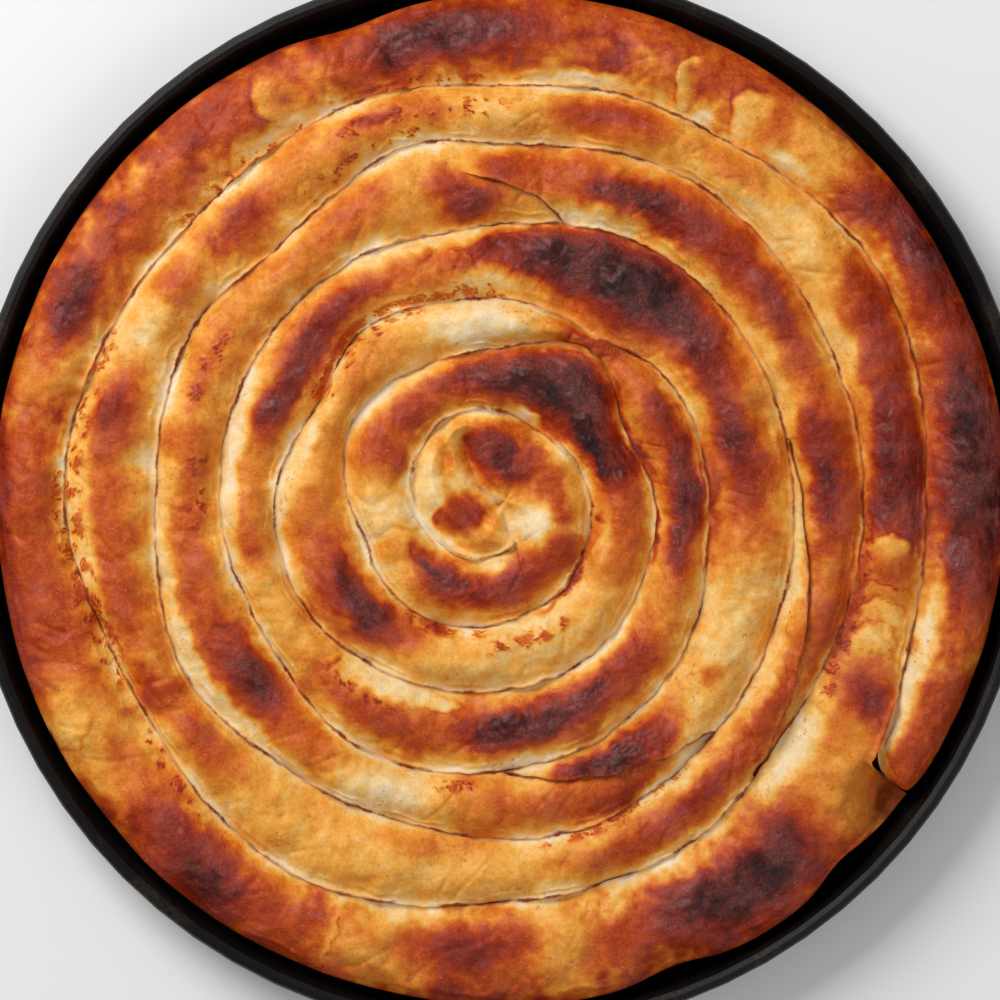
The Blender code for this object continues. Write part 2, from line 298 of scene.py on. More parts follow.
def crease_height(angle):
    """Height of the crease line at a running angle."""
    along = run_length(angle)
    height = CREASE + rough(along, 0.0, CREASE_LUMPS)
    for rise, length, phase in CREASE_SWELLS:
        height = height + rise * np.sin(along / length + phase)
    return height


def crease_step(angle):
    """How far one rope's edge stands over the other's along their crease."""
    return rough(run_length(angle), 0.0, STEP_LUMPS)


def baked_shut(angle):
    """1 where the crease round the knot has run together and shows no line, 0 elsewhere."""
    return smooth(*SHUT_BEGINS, angle) * smooth(*SHUT_ENDS, angle)


def crease_fill(angle, distance):
    """How much baked juice and loose filo fill a crease, near it; the knot's is nearly shut."""
    filled = lumps(run_length(angle), 0.0, FILL_LENGTH, FILL_SEED)
    fill = FILL + FILL_VARIES * smooth(-0.35, 0.1, filled)
    for more, begins, ends in FILLS_NEAR_KNOT:
        fill = fill + more * smooth(begins, ends, angle)
    fill = fill + SHUT_FILL * baked_shut(angle)
    return fill * np.exp(-distance / FILL_REACH)


def rope_top(angle, t):
    """Height of a rope's crown and shoulders at a running angle and a place across it."""
    inner_rim = crease_height(angle) + crease_step(angle)
    outer_rim = crease_height(angle - 360) - crease_step(angle - 360)
    rim_weight = smooth(*RIMS_MEET, t)
    side = inner_rim * (1 - rim_weight) + outer_rim * rim_weight
    crown = crown_height(angle)
    return crown - (crown - side) * np.clip(np.abs(2 * t - 1), 0, 1) ** DOME_POWER


# The crust: buttered filo, cream where the ropes press together, golden on their sides and
# browned to char on the crowns. One field, "bake", runs from 0, raw cream, to 1, black char.
CRUST = (
    (0.00, shade(245, 223, 187)),
    (0.12, shade(243, 201, 128)),
    (0.25, shade(240, 168, 68)),
    (0.38, shade(222, 130, 42)),
    (0.50, shade(202, 94, 28)),
    (0.60, shade(178, 66, 18)),
    (0.70, shade(154, 47, 14)),
    (0.80, shade(130, 36, 12)),
    (0.90, shade(88, 21, 12)),
    (1.00, shade(42, 10, 11)),
)
# Painted sheen: the mauve that glossy char shows where light glints on its wrinkles.
PAINTED_CHAR_SHEEN = shade(180, 98, 90)
BLUSH = shade(190, 96, 70)
# Partly steamed filo and partly painted shade: the greyer tan of the pale shoulders beside the
# creases.
STEAMED_TAN_AND_SHADE = shade(220, 172, 116)
SEAM_SHADOW = shade(136, 56, 18)
FLECK = shade(186, 76, 26)
# Painted highlight: the colour of small bright glints on the golden crust.
PAINTED_GLINT = shade(250, 212, 142)

filo, filo_shader, filo_place = new_finish("baked_filo")
bake = filo_place.node("ShaderNodeAttribute", {"attribute_name": "bake"}, output=2)
edge = filo_place.node("ShaderNodeAttribute", {"attribute_name": "seam_distance"}, output=2)
haze = filo_place.noise(75.0, 3.0)
mottle = filo_place.noise(260.0, 4.0)
blister = filo_place.noise(820.0, 5.0, 0.6)
freckle = filo_place.noise(2400.0, 3.0, 0.6)
grain = filo_place.noise(1500.0, 2.0, 0.7)
gilt = filo_place.noise(130.0, 4.0, 0.6)
browned = bake
for texture, amount in ((blister, 0.24), (freckle, 0.12), (mottle, 0.14), (gilt, 0.2)):
    browned = browned + (texture - 0.5) * amount
crust_colour = browned.node("ShaderNodeValToRGB", {"stops": CRUST}, {0: browned})
blushed = haze.between(0.52, 0.68) * browned.between(0.3, 0.45) * browned.between(0.78, 0.6)
crust_colour = crust_colour.tinted(BLUSH, blushed * 0.3)
# Painted sheen: mauve mixed into the char colour where its glossy wrinkles would catch the light.
painted_sheen = browned.between(0.55, 0.8) * haze.between(0.42, 0.56)
painted_sheen = painted_sheen * (grain.between(0.46, 0.62) * 0.6 + 0.4)
crust_colour = crust_colour.tinted(PAINTED_CHAR_SHEEN, painted_sheen * 0.36)
flecked = filo_place.noise(640.0, 3.0).between(0.58, 0.68) * haze.between(0.5, 0.62)
crust_colour = crust_colour.tinted(FLECK, flecked * browned.between(0.6, 0.4) * 0.5)
# Painted highlights: small bright glints put into the colour of the golden crust.
painted_glints = grain.between(0.62, 0.72) * browned.between(0.3, 0.42) * browned.between(0.75, 0.6)
crust_colour = crust_colour.tinted(PAINTED_GLINT, painted_glints * mottle.between(0.45, 0.6) * 0.45)
# Near the creases the pale crust turns a greyer tan: partly steamed filo, partly painted crease
# shade.
steamed_and_shaded = (edge + (blister - 0.5) * 2.0).between(1.8, 0.3) * browned.between(0.5, 0.2)
crust_colour = crust_colour.tinted(STEAMED_TAN_AND_SHADE, steamed_and_shaded * 0.4)
in_seam = (edge + (blister - 0.5) + (mottle - 0.5) * 2.2).between(0.8, 0.0)
crust_colour = crust_colour.tinted(SEAM_SHADOW,
                                   in_seam * (haze.between(0.4, 0.6) * 0.75 + 0.25))
crust_colour.feed(filo_shader.inputs["Base Color"])
(0.44 - browned.between(0.55, 0.95) * 0.16 + (freckle - 0.5) * 0.3).feed(
    filo_shader.inputs["Roughness"])
filo_shader.inputs["Specular IOR Level"].default_value = 0.2
(browned.between(0.6, 0.9) * 0.14 + 0.1).feed(filo_shader.inputs["Coat Weight"])
filo_shader.inputs["Coat Roughness"].default_value = 0.36
filo_shader.inputs["Subsurface Weight"].default_value = 0.06
filo_shader.inputs["Subsurface Radius"].default_value = (1.0, 0.45, 0.2)
filo_shader.inputs["Subsurface Scale"].default_value = 0.002
relief = blister * (0.35 + bake.between(0.5, 0.85) * 0.7) + freckle * 0.22
relief = relief + grain * bake.between(0.5, 0.8) * 0.22
filo_bump = filo_place.node("ShaderNodeBump", {},
                            {"Height": relief, "Strength": 0.9, "Distance": 0.0009})
filo_bump.feed(filo_shader.inputs["Normal"])


# How the bake field varies: its level on a crown, how pale the creases are, and the oven's hot
# side, where they are browner. A mottle has its height, what the tray's wall adds to it, its size
# and its seed. Then come the edges of patches and flakes, and the scraps in the creases.
CROWN_BAKE = 0.41
WALL_BAKE = 0.08
PALE = 0.30
PALE_VARIES = 0.34
PALE_SIZE = 25.0
PALE_SEEDS = (29, 30)
PALE_POWER = 2.1
WALL_BROWNER = 0.14
HOT_SHARE = 0.55
HOT_X = (20.0, 90.0)
HOT_Y = (-70.0, -20.0)
MOTTLES = ((0.17, 0.0, 22.0, 20), (0.13, 0.1, 8.0, 21), (0.06, 0.06, 3.0, 22))
DRIFT = ((2.8, 13.0, 23), (1.3, 4.5, 24))
SWAY = ((1.9, 11.0, 25), (1.0, 3.8, 26))
RAGGED = ((0.09, 2.6, 27), (0.05, 1.3, 28))
LEAST_RADIUS = 8.0
PATCH_FADE = (1.7, 0.2)
FLAKE_FADE = (1.12, 0.7)
FLAKE_SHARE = 0.75
FLAKE_LIFT = 0.5
TORN_EDGE = 1.1
TORN_WIDTH = 0.09
TORN_BAKE = 0.14
SCRAPS = ((1.0, 4.6, 31), (0.4, 1.7, 32))
SCRAP_FADE = (1.4, 0.5)
SCRAP_LEVELS = (0.62, 0.8)
SCRAP_TORN = 0.9
SCRAP_WHOLE = 0.6


def toasted(x, y, side, wall=0.0):
    """The bake field before the patches: toasted on the crown and mostly pale at the creases.

    side runs from -1 at the inner crease to 1 at the outer; wall is 1 where that is the tray's.
    """
    hot_side = 1 - HOT_SHARE * smooth(*HOT_X, x) * smooth(*HOT_Y, y)
    pale_in, pale_out = (PALE + PALE_VARIES * lumps(x, y, PALE_SIZE, seed) for seed in PALE_SEEDS)
    pale_in = pale_in * hot_side
    pale_out = pale_out * (1 - wall) * hot_side - WALL_BROWNER * wall
    pale = np.where(side > 0, pale_out, pale_in) * np.abs(side) ** PALE_POWER
    field = CROWN_BAKE + WALL_BAKE * wall - pale
    for height, at_wall, size, seed in MOTTLES:
        field = field + (height + at_wall * wall) * lumps(x, y, size, seed)
    return field


def wander(x, y):
    """How the edges of browned patches wander, in millimetres both ways, and how ragged."""
    return rough(x, y, DRIFT), rough(x, y, SWAY), rough(x, y, RAGGED)


def browning(x, y, angle, t, width, patches, flakes, wall=0.0):
    """The bake field of a rope, and how far its loose flakes lift.

    A patch has its running angle and place across, half length in degrees, half width as a part
    of the rope's, and depth of browning. A flake has the same and is crisp at its edge.
    """
    field = toasted(x, y, 2 * t - 1, wall)
    drift, sway, ragged = wander(x, y)
    place = angle + np.degrees(drift / np.maximum(np.hypot(x, y), LEAST_RADIUS))
    over = t + sway / width
    for middle, across, half_turn, half_across, depth in patches:
        away = np.hypot((place - middle) / half_turn, (over - across) / half_across) + ragged
        field = field + (depth - field) * smooth(*PATCH_FADE, away)
    lift = np.zeros_like(field)
    for middle, across, half_turn, half_across, depth in flakes:
        along = (place - middle) / half_turn
        away = np.hypot(along, (over - across) / half_across) + 0.9 * ragged
        inside = smooth(*FLAKE_FADE, away) * smooth(-1.3, 0.7, along)
        field = field + (depth - field) * inside * FLAKE_SHARE
        torn = np.exp(-((away - TORN_EDGE) / TORN_WIDTH) ** 2) * smooth(-0.2, 0.8, along)
        field = field + TORN_BAKE * torn
        lift = lift + (FLAKE_LIFT - lift) * inside
    return np.clip(field, 0.0, 1.0), lift


def crumbled(x, y, angle, t, stretches):
    """Where baked crumbs and torn edges of filo stick: 0 nowhere to 1 on a crumb.

    A stretch has its first and last running angle, its place and half width across, and how
    thickly the crumbs lie.
    """
    scraps = rough(x, y, SCRAPS)
    found = np.zeros_like(scraps)
    for first, last, across, half_across, thick in stretches:
        window = smooth(first - 2, first + 2, angle) * smooth(last + 2, last - 2, angle)
        window = window * smooth(*SCRAP_FADE, np.abs(t - across) / half_across)
        torn = np.exp(-((scraps - 0.5 + thick) / TORN_WIDTH) ** 2) * SCRAP_TORN
        begins, full = SCRAP_LEVELS
        whole = smooth(begins - thick, full - thick, scraps) * SCRAP_WHOLE
        found = np.maximum(found, np.maximum(torn, whole) * window)
    return found


# The top skin's relief: soft lumps, the edges of the outermost filo sheet along both shoulders,
# folds, and what char and blisters add.
SKIN_LUMPS = ((1.2, 18.0, 33), (0.9, 8.0, 34), (0.3, 3.2, 35))
SHEET_EDGES = ((-8.8, 42), (9.0, 44))
SHEET_WANDER = 1.6
SHEET_HEIGHT = 0.7
SHEET_WIDTH = 0.5
FOLD_DEPTH = 0.7
FOLD_WIDTH = 0.09
CRINKLE = 0.45
CHAR_LUMPS = ((0.28, 1.3, 39),)
BLISTER_HEIGHT = 0.16


def cover_height(x, y, along, across_mm, shoulder, field):
    """Relief of the top skin in millimetres, which fades out at a rope's rims."""
    keep = 1.0 - np.abs(shoulder) ** 5
    charred = smooth(0.5, 0.85, field)
    relief_mm = rough(x, y, SKIN_LUMPS)
    for middle, seed in SHEET_EDGES:
        wandered = SHEET_WANDER * lumps(along, 0.0, 9.0, seed)
        away = shoulder * HALF_ROPE - middle + wandered
        shown = smooth(-0.1, 0.2, lumps(along, 0.0, 17.0, seed + 1))
        relief_mm = relief_mm + SHEET_HEIGHT * np.exp(-(away / SHEET_WIDTH) ** 2) * shown
    fold = np.abs(lumps(along + 0.6 * across_mm, across_mm * 0.45, 10.0, 36))
    shown = smooth(-0.05, 0.3, lumps(x, y, 17.0, 37))
    relief_mm = relief_mm - FOLD_DEPTH * np.exp(-(fold / FOLD_WIDTH) ** 2) * shown
    crinkle = lumps(along * 0.5 - across_mm * 0.3, across_mm + along * 0.15, 2.4, 38)
    relief_mm = relief_mm + charred * (CRINKLE * crinkle + rough(x, y, CHAR_LUMPS))
    blistered = smooth(0.2, 0.5, lumps(x, y, 2.3, 40)) * smooth(0.3, 0.6, field)
    return (relief_mm + BLISTER_HEIGHT * blistered) * keep


# Slanted joins, where one rope's end lies beside the next one's start under one crown: the rope
# on the inner and on the outer side, the one that stands over the other, the first running
# angle, the inner rope's share of the width at every step from there, and where the line fades.
SLANTS = (
    ("rope_second", "rope_third", "rope_second", 1032,
     (0.985, 0.9, 0.78, 0.62, 0.48, 0.36, 0.24, 0.16, 0.11, 0.07, 0.015), 1200),
    ("rope_fourth", "rope_third", "rope_third", 1158, (0.02, 0.34, 0.49, 0.60, 0.75, 0.985), 1173),
    ("rope_fifth", "rope_fourth", "rope_fifth", 1350,
     (0.02, 0.18, 0.29, 0.40, 0.54, 0.68, 0.82, 0.985), 1500),
)
SLANT_STEP = 6
SLANT_RISE = 0.8
SLANT_SINK = 1.5
SLANT_REACH = 4.0
SLANT_WAVER = 0.04
SLANT_FADE = 4.0


def slanted_sides(node, angle):
    """A rope's low and high side, each with its place across, its rise and how its line shows."""
    none, whole = np.zeros_like(angle), np.ones_like(angle)
    low, high = (none, none, whole), (whole, none, whole)
    for inside, outside, over, start, shares, fades in SLANTS:
        if node in (inside, outside):
            spots = start + SLANT_STEP * np.arange(len(shares))
            here = (angle >= spots[0]) & (angle <= spots[-1])
            share = np.interp(angle, spots, shares)
            share = share + SLANT_WAVER * lumps(angle, 0.0, 9.0, 41)
            drawn = smooth(fades + 6, fades, angle)
            step = (SLANT_RISE if node == over else -SLANT_SINK) * drawn
            slanted = (share, step, drawn)
            if node == inside:
                high = [np.where(here, new, old) for new, old in zip(slanted, high)]
            else:
                low = [np.where(here, new, old) for new, old in zip(slanted, low)]
    return low, high


# A rope's skin: how finely it is divided, how the tail's end narrows and drops, what crumbs add,
# the hollow where the tail lies against the next turn and the shade painted into it, and the
# flanks below the creases.
ALONG_STEP = 0.65
TOP_COLUMNS = 50
FLANK_COLUMNS = 5
SEAM_TO_MIDDLE = 11.0
EVEN_COLUMNS = 0.65
EDGE_PULL = (0.7, 1.0)
TAIL_NARROWS = 2.0
TAIL_DROP = 4.0
CRUMB_BAKE = 0.82
CRUMB_SHARE = 0.85
CRUMB_HEIGHT = 0.6
HOLLOW_TURN = (9.0, 1.0)
HOLLOW_REACH = (12.0, 1.0)
HOLLOW_DEPTH = 9.0
HOLLOW_SHADE_SHARE = 0.8
KNOT_OVERLAP = 4
KNOT_TUCK = 1.2
FLANK_BAKE = 0.5
FLANK_DISTANCE = 3.0
FOOT_SHARE = 0.25


def finish_skin(mesh, places, fields, material):
    """Set a grid mesh's places and fields, close it, face it outward and crease its rims."""
    mesh.vertices.foreach_set("co", (places * MM).ravel())
    for label, field in fields.items():
        layer = mesh.attributes.new(label, "FLOAT", "POINT")
        layer.data.foreach_set("value", field.astype(np.float32))
    bm = bmesh.new()
    bm.from_mesh(mesh)
    bmesh.ops.remove_doubles(bm, verts=bm.verts[:], dist=1e-7)
    rims = [rim for rim in bm.edges if rim.is_boundary]
    bmesh.ops.holes_fill(bm, edges=rims, sides=0)
    bmesh.ops.recalc_face_normals(bm, faces=bm.faces[:])
    bm.to_mesh(mesh)
    bm.free()
    mesh.shade_smooth()
    if "rim" in fields:
        at_rim = np.empty(len(mesh.vertices), np.float32)
        mesh.attributes["rim"].data.foreach_get("value", at_rim)
        ends = np.empty(len(mesh.edges) * 2, np.int32)
        mesh.edges.foreach_get("vertices", ends)
        sharp = mesh.attributes.new("sharp_edge", "BOOLEAN", "EDGE")
        sharp.data.foreach_set("value", at_rim[ends].reshape(-1, 2).min(axis=1) > 0.5)
        mesh.attributes.remove(mesh.attributes["rim"])
    mesh.materials.append(material)
    piece = bpy.data.objects.new(mesh.name, mesh)
    bpy.context.scene.collection.objects.link(piece)
    return piece


def grid_mesh(name, cells_x, cells_y):
    """A flat grid mesh, and the column and row of each of its points."""
    bm = bmesh.new()
    bmesh.ops.create_grid(bm, x_segments=cells_x, y_segments=cells_y, size=0.5)
    mesh = bpy.data.meshes.new(name)
    bm.to_mesh(mesh)
    bm.free()
    flat = np.empty(len(mesh.vertices) * 3)
    mesh.vertices.foreach_get("co", flat)
    flat = flat.reshape(-1, 3)
    column = np.rint((flat[:, 0] + 0.5) * cells_x).astype(int)
    row = np.rint((flat[:, 1] + 0.5) * cells_y).astype(int)
    return mesh, column, row


def lay_rope(node, first, last, patches, flakes=(), crumbs=()):
    """Make one rope's skin, closed all round, and let it ride in the place of its solid."""
    middle_radius = float(seam((first + last) / 2)) + SEAM_TO_MIDDLE
    rows = int(math.radians(last - first) * middle_radius / ALONG_STEP)
    mesh, row, column = grid_mesh(node + "_crust", rows, TOP_COLUMNS + FLANK_COLUMNS)
    angle = (first + (last - first) * np.arange(rows + 1) / rows)[:, None]
    end_round = tail_rounding(angle) if first == TAIL else np.zeros_like(angle)
    crease = crease_line(angle) + TAIL_BLUNT * end_round
    outline = np.where(angle < TAIL + 360, free_edge(angle), crease_line(angle - 360))
    outline = outline - TAIL_NARROWS * end_round
    crown_outline = free_edge(angle, CROWN_TURNS_IN) if first == TAIL else outline
    full = crown_outline - crease
    (low, step_low, shown_low), (high, step_high, shown_high) = slanted_sides(node, angle)
    inner = crease + low * full
    crown_edge = crease + high * full
    outer = np.where(high < 1, crown_edge, outline)

    u = np.arange(TOP_COLUMNS) / (TOP_COLUMNS - 1)
    spread = EVEN_COLUMNS * u + (1 - EVEN_COLUMNS) * (0.5 - 0.5 * np.cos(np.pi * u))
    radius = inner + (crown_edge - inner) * spread
    radius = radius + (outer - crown_edge) * smooth(*EDGE_PULL, spread)
    t = (radius - crease) / full
    turn = np.radians(angle)
    x, y = radius * np.cos(turn), radius * np.sin(turn)
    wall = smooth(CROWN_TURNS_IN[1], CROWN_TURNS_IN[0], angle)
    field, lift = browning(x, y, angle, t, full, patches, flakes, wall)
    crumb = crumbled(x, y, angle, t, crumbs)
    field = field + (CRUMB_BAKE - field) * crumb * CRUMB_SHARE

    from_inner, from_outer = radius - inner, outer - radius
    height = rope_top(angle, t) + crease_fill(angle, radius - crease)
    height = height + crease_fill(angle - 360, outline - radius) * (angle >= TAIL + 360)
    height = height + step_low * np.exp(-from_inner / SLANT_REACH)
    height = height + step_high * np.exp(-from_outer / SLANT_REACH)
    height = height + cover_height(x, y, run_length(angle), full * t, 2 * t - 1, field)
    height = height + lift + CRUMB_HEIGHT * crumb - TAIL_DROP * end_round
    before, after = HOLLOW_TURN
    recess = smooth(EDGE_TURNS_IN[0] - before, EDGE_TURNS_IN[0] - after, angle)
    recess = recess * smooth(EDGE_TURNS_IN[1], EDGE_TURNS_IN[0], angle)
    within, past = HOLLOW_REACH
    hollow = recess * smooth(TAIL_RADIUS - within, TAIL_RADIUS + past, radius)
    height = height - HOLLOW_DEPTH * hollow
    # Painted shade: the hollow's crust is darkened towards the flanks' orange-brown.
    field = field + (FLANK_BAKE - field) * hollow * HOLLOW_SHADE_SHARE
    height = height - KNOT_TUCK * smooth(KNOT, KNOT + KNOT_OVERLAP, angle)
    fade_low = (1 - shown_low) * SLANT_FADE + SHUT_FADE * baked_shut(angle)
    fade_high = (1 - shown_high) * SLANT_FADE
    distance = np.minimum(from_inner + fade_low, from_outer + fade_high)
    # Painted shade: the crease tints are pulled into the hollow by shrinking its seam distance.
    distance = distance * (1 - hollow) ** 2

    foot = np.minimum(FOOT, FOOT_SHARE * (outer - inner))
    side = np.full_like(angle, SIDE_LOW)
    base = np.full_like(angle, FLOOR + GAP)
    middle = (height[:, -1:] + SIDE_LOW) / 2
    radius = np.hstack([radius, outer, outer, outer - foot, inner + foot, inner, radius[:, :1]])
    height = np.hstack([height, middle, side, base, base, side, height[:, :1]])
    flank = np.ones((len(angle), FLANK_COLUMNS))
    field = np.hstack([field, flank * FLANK_BAKE, field[:, :1]])
    distance = np.hstack([distance, flank * FLANK_DISTANCE, distance[:, :1]])
    places = np.stack([EYE_X + radius * np.cos(turn), radius * np.sin(turn), height], axis=-1)
    rim = np.zeros_like(field)
    rim[:, (0, TOP_COLUMNS - 1, -1)] = 1.0
    rim[(0, -1), :] = 1.0
    rope = finish_skin(mesh, places[row, column],
                       {"bake": field[row, column], "seam_distance": distance[row, column],
                        "rim": rim[row, column]}, filo)
    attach(rope, "root")
    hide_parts(node)


# The outermost rope: from the blunt tail at the lower right once round against the tray's wall.
# Its crown is the most burnt. Each patch is a running angle, a place across, its half length in
# degrees, its half width and how deep it is browned.
OUTER_PATCHES = (
    (327, 0.62, 4, 0.3, 0.62), (334, 0.78, 5, 0.26, 0.62), (332, 0.12, 7, 0.16, 0.04),
    (344, 0.2, 6, 0.14, 0.04), (344, 0.8, 3, 0.2, 0.5), (366, 0.06, 16, 0.1, 0.52),
    (364, 0.58, 17, 0.42, 0.66), (352, 0.45, 4, 0.2, 0.86), (357, 0.84, 7, 0.14, 0.9),
    (362, 0.52, 9, 0.32, 0.93), (371, 0.6, 8, 0.3, 0.95), (378, 0.78, 4, 0.16, 0.82),
    (384, 0.6, 6, 0.32, 0.7), (392, 0.72, 7, 0.28, 0.9), (399, 0.52, 5, 0.28, 0.8),
    (409, 0.5, 6, 0.5, 0.3), (410, 0.15, 5, 0.12, 0.1), (414, 0.45, 2, 0.3, 0.52),
    (421, 0.68, 5, 0.35, 0.6), (436, 0.85, 12, 0.16, 0.56), (440, 0.1, 9, 0.09, 0.08),
    (457, 0.57, 15, 0.36, 0.62), (452, 0.62, 6, 0.22, 0.88), (460, 0.58, 8, 0.26, 0.95),
    (466, 0.45, 5, 0.18, 0.88), (470, 0.4, 3, 0.4, 0.6), (481, 0.6, 4, 0.35, 0.5),
    (486, 0.5, 4, 0.3, 0.62), (489, 0.78, 5, 0.2, 0.66), (482, 0.13, 7, 0.12, 0.12),
    (498, 0.45, 4, 0.2, 0.55), (504, 0.3, 3, 0.2, 0.54), (515, 0.52, 8, 0.32, 0.62),
    (515, 0.55, 5, 0.2, 0.92), (526, 0.6, 3, 0.3, 0.38), (538, 0.6, 6, 0.35, 0.6),
    (552, 0.55, 17, 0.38, 0.6), (541, 0.92, 9, 0.13, 0.8), (556, 0.92, 15, 0.12, 0.7),
    (569, 0.66, 7, 0.4, 0.27), (574, 0.42, 3, 0.1, 0.6), (577, 0.4, 4, 0.3, 0.45),
    (591, 0.55, 10, 0.45, 0.64), (590, 0.6, 6, 0.3, 0.84), (593, 0.68, 4, 0.24, 0.94),
    (587, 0.4, 5, 0.16, 0.78),
    (602, 0.65, 6, 0.35, 0.62), (614, 0.55, 6, 0.35, 0.28), (625, 0.45, 9, 0.22, 0.68),
    (625, 0.46, 4, 0.13, 0.8), (631, 0.7, 4, 0.14, 0.56), (638, 0.5, 4, 0.35, 0.26),
    (645, 0.53, 5, 0.18, 0.6), (663, 0.58, 14, 0.34, 0.64), (656, 0.42, 6, 0.15, 0.86),
    (663, 0.6, 11, 0.26, 0.98), (679, 0.55, 5, 0.4, 0.34), (690, 0.5, 6, 0.5, 0.42),
    (692, 0.55, 4, 0.28, 0.8), (700, 0.1, 8, 0.1, 0.62),
    (679, 0.15, 8, 0.12, 0.05), (683, 0.6, 4, 0.2, 0.36),
)
OUTER_FLAKES = (
    (417, 0.42, 3.0, 0.35, 0.12), (426, 0.42, 1.3, 0.34, 0.1), (480, 0.48, 2.4, 0.34, 0.2),
    (566, 0.78, 3.5, 0.26, 0.22), (608, 0.5, 0.6, 0.4, 0.26), (698, 0.5, 4.0, 0.3, 0.14),
)
OUTER_CRUMBS = (
    (448, 500, 0.05, 0.08, 0.1), (535, 566, 0.08, 0.09, 0.35), (570, 590, 0.12, 0.08, 0.1),
    (688, 702, 0.1, 0.12, 0.3),
)
lay_rope("rope_outer", TAIL, FIRST_JOIN, OUTER_PATCHES, OUTER_FLAKES, OUTER_CRUMBS)

# The second rope starts at a ragged dark end and narrows to a pale strip beside the third.
SECOND_PATCHES = (
    (703, 0.1, 12, 0.12, 0.62), (709, 0.55, 3, 0.35, 0.55), (718, 0.75, 6, 0.3, 0.78),
    (720, 0.3, 5, 0.2, 0.86), (729, 0.5, 11, 0.36, 0.78), (727, 0.42, 7, 0.2, 0.88),
    (724, 0.78, 8, 0.22, 0.84), (744, 0.65, 11, 0.32, 0.7), (750, 0.72, 5, 0.22, 0.74),
    (746, 0.14, 12, 0.12, 0.2), (769, 0.4, 15, 0.5, 0.18), (775, 0.6, 6, 0.25, 0.42),
    (794, 0.57, 9, 0.28, 0.6), (796, 0.6, 5, 0.16, 0.7), (811, 0.5, 6, 0.4, 0.2),
    (826, 0.55, 9, 0.25, 0.46), (829, 0.62, 4, 0.08, 0.68), (841, 0.5, 5, 0.3, 0.38),
    (852, 0.5, 6, 0.28, 0.6), (853, 0.55, 3, 0.15, 0.7), (867, 0.55, 4, 0.3, 0.58),
    (876, 0.62, 7, 0.35, 0.14), (887, 0.5, 7, 0.26, 0.66), (887, 0.6, 4, 0.12, 0.78),
    (905, 0.53, 14, 0.2, 0.56), (905, 0.82, 10, 0.1, 0.16), (928, 0.72, 3.5, 0.22, 0.68),
    (930, 0.3, 1.4, 0.25, 0.64), (939, 0.45, 8, 0.28, 0.62), (940, 0.45, 5, 0.18, 0.74),
    (973, 0.5, 30, 0.45, 0.24), (976, 0.25, 6, 0.12, 0.4), (1020, 0.57, 19, 0.26, 0.62),
    (1022, 0.5, 8, 0.14, 0.72), (1046, 0.6, 10, 0.2, 0.62), (1047, 0.15, 7, 0.15, 0.2),
    (1053, 0.42, 4, 0.12, 0.5), (1068, 0.1, 16, 0.12, 0.12),
)
SECOND_FLAKES = (
    (706.5, 0.55, 1.6, 0.32, 0.4), (703, 0.5, 2.2, 0.3, 0.22), (712.5, 0.5, 2.4, 0.32, 0.12),
)
SECOND_CRUMBS = (
    (702, 720, 0.1, 0.1, 0.2), (810, 835, 0.6, 0.18, 0.1), (876, 922, 0.9, 0.1, 0.32),
    (820, 845, 0.2, 0.1, 0.1), (996, 1010, 0.06, 0.12, 0.55), (1008, 1024, 0.04, 0.06, 0.5),
    (1030, 1040, 0.85, 0.06, 0.3),
)
lay_rope("rope_second", FIRST_JOIN, 1092, SECOND_PATCHES, SECOND_FLAKES, SECOND_CRUMBS)

# The third rope is a short one: it widens from a wedge and tapers over the fourth's start.
THIRD_PATCHES = (
    (1058, 0.82, 14, 0.18, 0.58), (1083, 0.6, 11, 0.34, 0.66), (1083, 0.43, 8, 0.18, 0.86),
    (1093, 0.4, 4, 0.18, 0.76), (1130, 0.58, 28, 0.3, 0.68), (1117, 0.6, 8, 0.16, 0.76),
    (1137, 0.5, 8, 0.2, 0.76), (1147, 0.5, 9, 0.2, 0.9), (1163, 0.65, 6, 0.3, 0.56),
    (1170, 0.7, 4, 0.16, 0.68), (1108, 0.1, 26, 0.1, 0.22),
)
lay_rope("rope_third", 1032, 1188, THIRD_PATCHES)

# The fourth rope runs round the left side and ends in a flat brown wedge under the fifth.
FOURTH_PATCHES = (
    (1168, 0.3, 6, 0.3, 0.36), (1178, 0.3, 6, 0.24, 0.74), (1177, 0.28, 3.5, 0.14, 0.82),
    (1188, 0.5, 4, 0.4, 0.3), (1200, 0.6, 8, 0.26, 0.5), (1225, 0.55, 16, 0.3, 0.34),
    (1235, 0.55, 8, 0.12, 0.5), (1253, 0.4, 6, 0.2, 0.52), (1275, 0.52, 15, 0.22, 0.55),
    (1297, 0.45, 14, 0.34, 0.62), (1295, 0.38, 9, 0.22, 0.84), (1296, 0.34, 5, 0.12, 0.92),
    (1309, 0.4, 6, 0.25, 0.52), (1290, 0.88, 26, 0.1, 0.1), (1328, 0.55, 9, 0.48, 0.06),
    (1345, 0.6, 6, 0.3, 0.42), (1351, 0.6, 3, 0.2, 0.52), (1368, 0.6, 14, 0.26, 0.56),
    (1372, 0.82, 9, 0.14, 0.68),
)
FOURTH_CRUMBS = (
    (1229, 1243, 0.5, 0.2, 0.12), (1250, 1266, 0.35, 0.15, 0.12), (1336, 1344, 0.22, 0.12, 0.4),
)
lay_rope("rope_fourth", 1158, 1392, FOURTH_PATCHES, (), FOURTH_CRUMBS)

